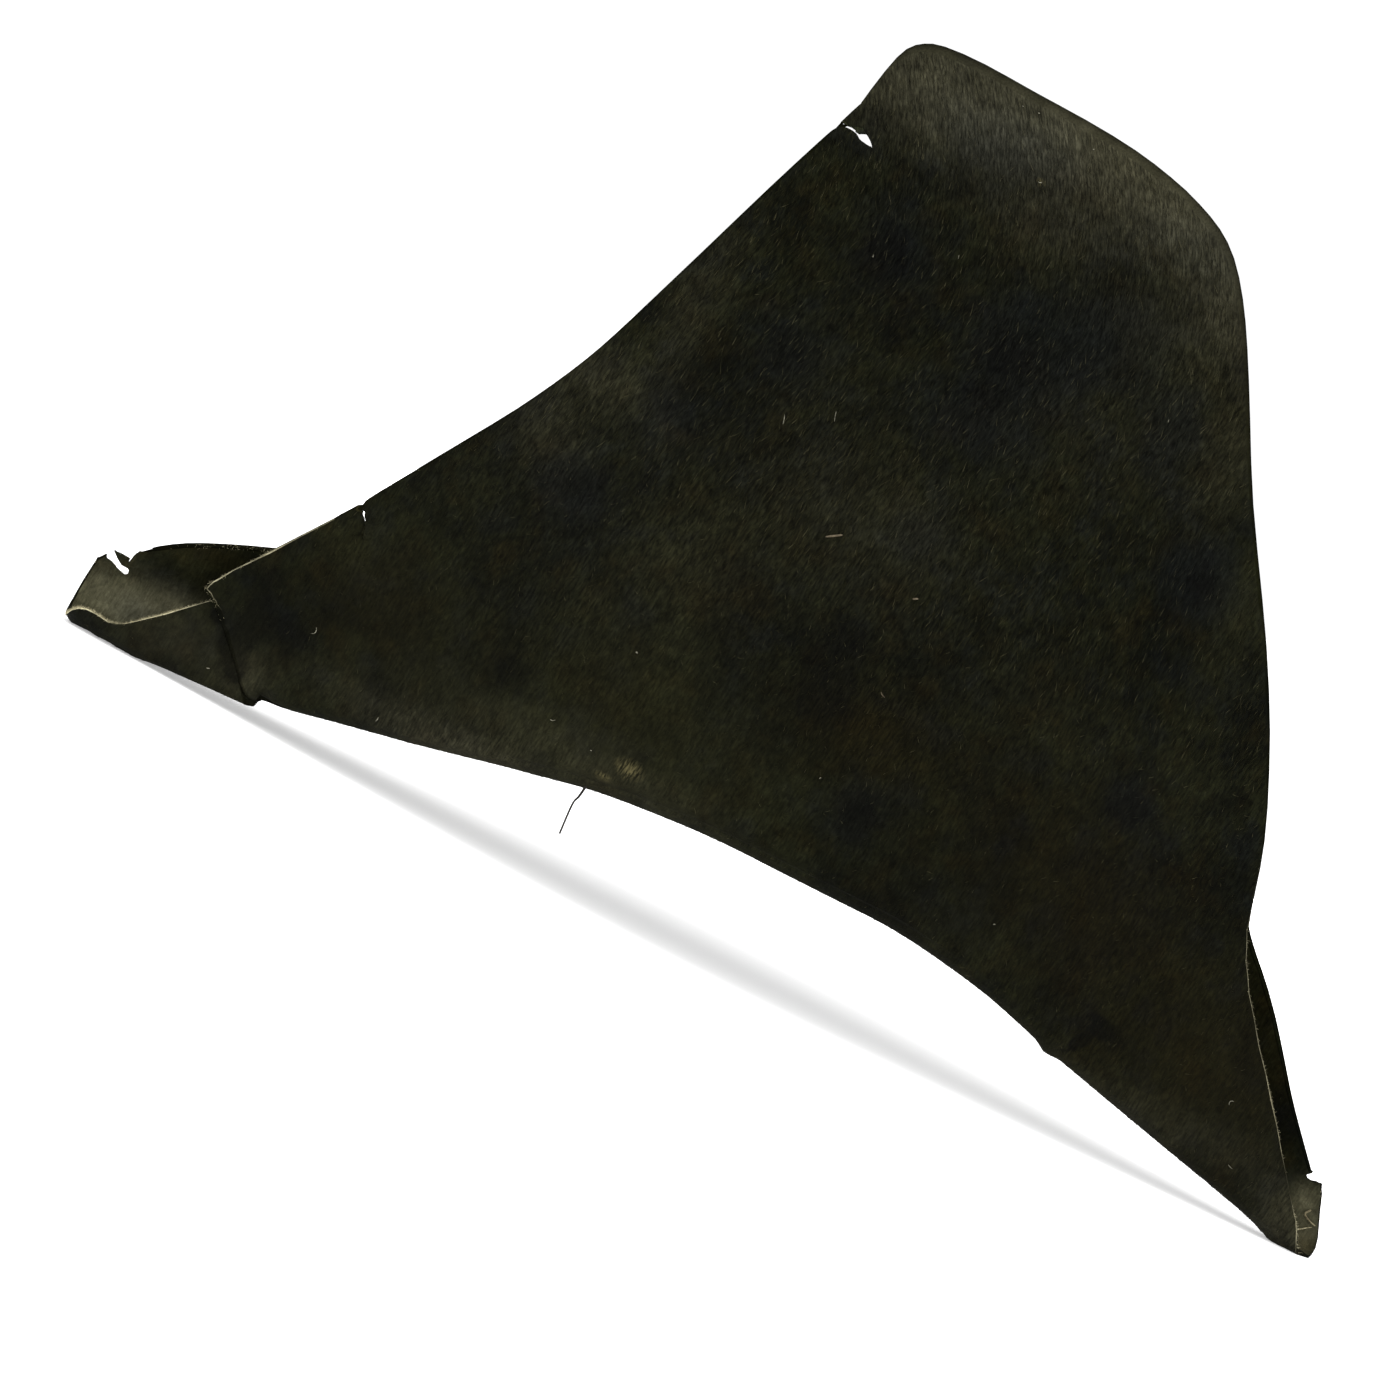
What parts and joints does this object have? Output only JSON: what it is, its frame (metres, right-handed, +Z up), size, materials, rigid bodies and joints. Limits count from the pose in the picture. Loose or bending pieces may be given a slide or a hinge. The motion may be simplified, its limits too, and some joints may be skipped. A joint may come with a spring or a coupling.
{
  "type": "bicorne hat",
  "caption": "Folded fur felt bicorne hat with a tall near flap, a lower far flap, a hollow crown and two open tips, resting on the tips.",
  "frame": {"origin": "on the resting plane, under the middle of the box round the whole hat", "axes": "+X towards the rear tip, +Y towards the lower far flap, +Z up"},
  "size_m": [0.4992, 0.194, 0.3243],
  "materials": {
    "black_felt": "napped fur felt, matte"
  },
  "bodies": {
    "root": {"felt_body": "black_felt"}
  },
  "joints": []
}
